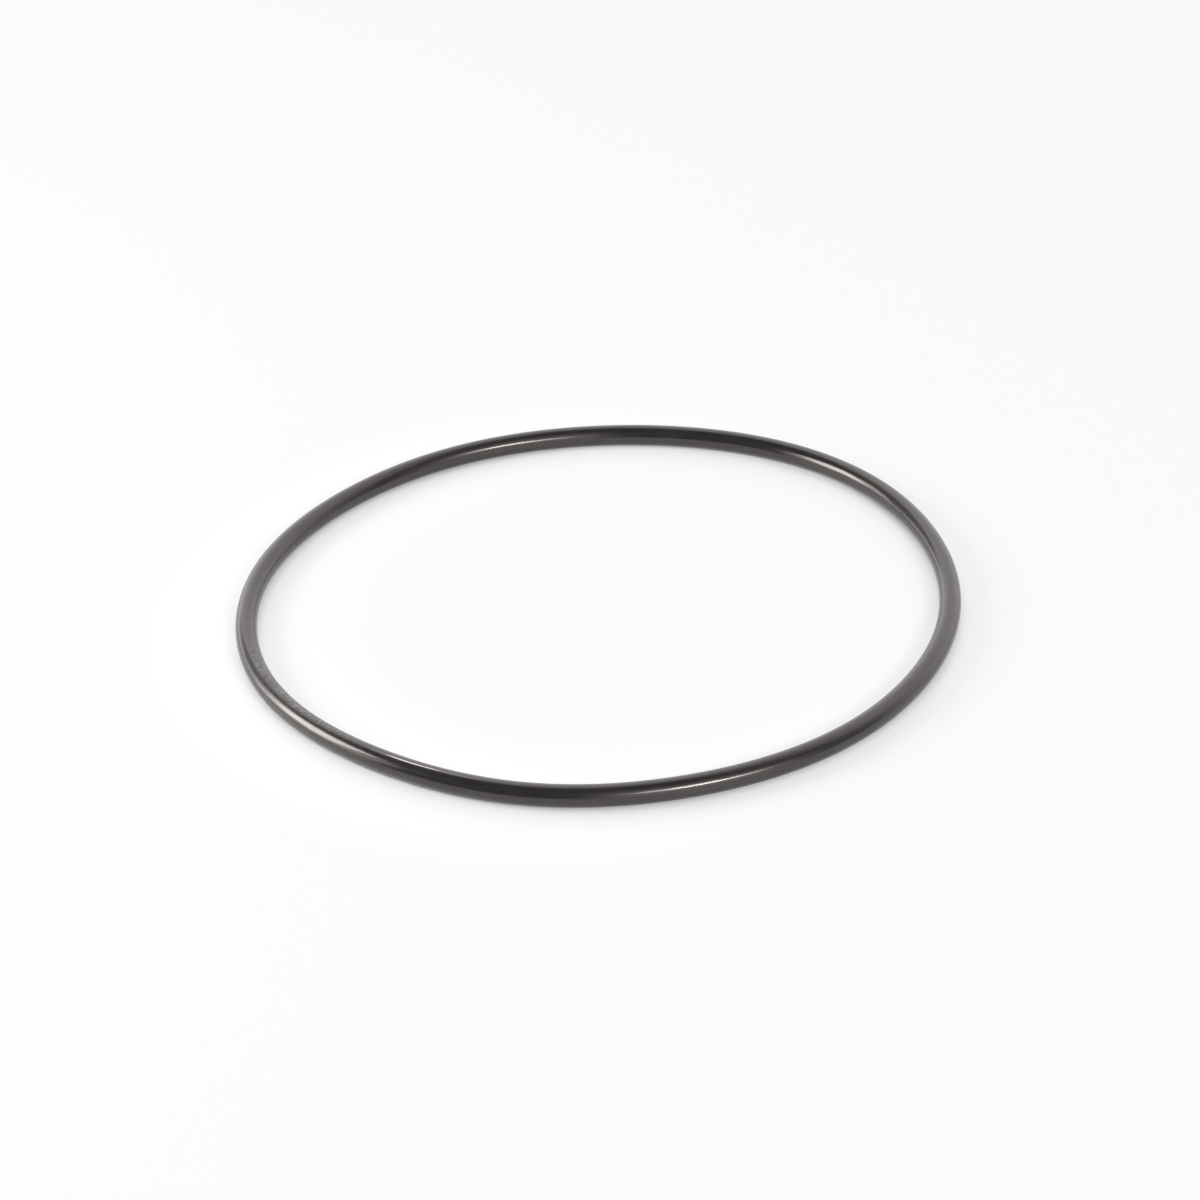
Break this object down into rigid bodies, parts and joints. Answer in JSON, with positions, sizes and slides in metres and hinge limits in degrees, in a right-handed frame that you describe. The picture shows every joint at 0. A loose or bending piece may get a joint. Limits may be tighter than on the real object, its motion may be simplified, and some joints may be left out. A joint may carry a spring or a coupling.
{
  "type": "rubber o-ring",
  "caption": "Round rubber ring of circular cord, a static or sliding seal that sits in a groove between two parts.",
  "frame": {"origin": "centre of the ring, half-way up the cord", "axes": "+Z along the ring's axis, the ring lies in the XY plane; X and Y are equal"},
  "size_m": [0.117, 0.117, 0.0034],
  "materials": {
    "black_rubber": "satin moulded rubber, smooth, charcoal black with a soft sheen"
  },
  "bodies": {
    "root": {"o_ring": "black_rubber"}
  },
  "joints": []
}
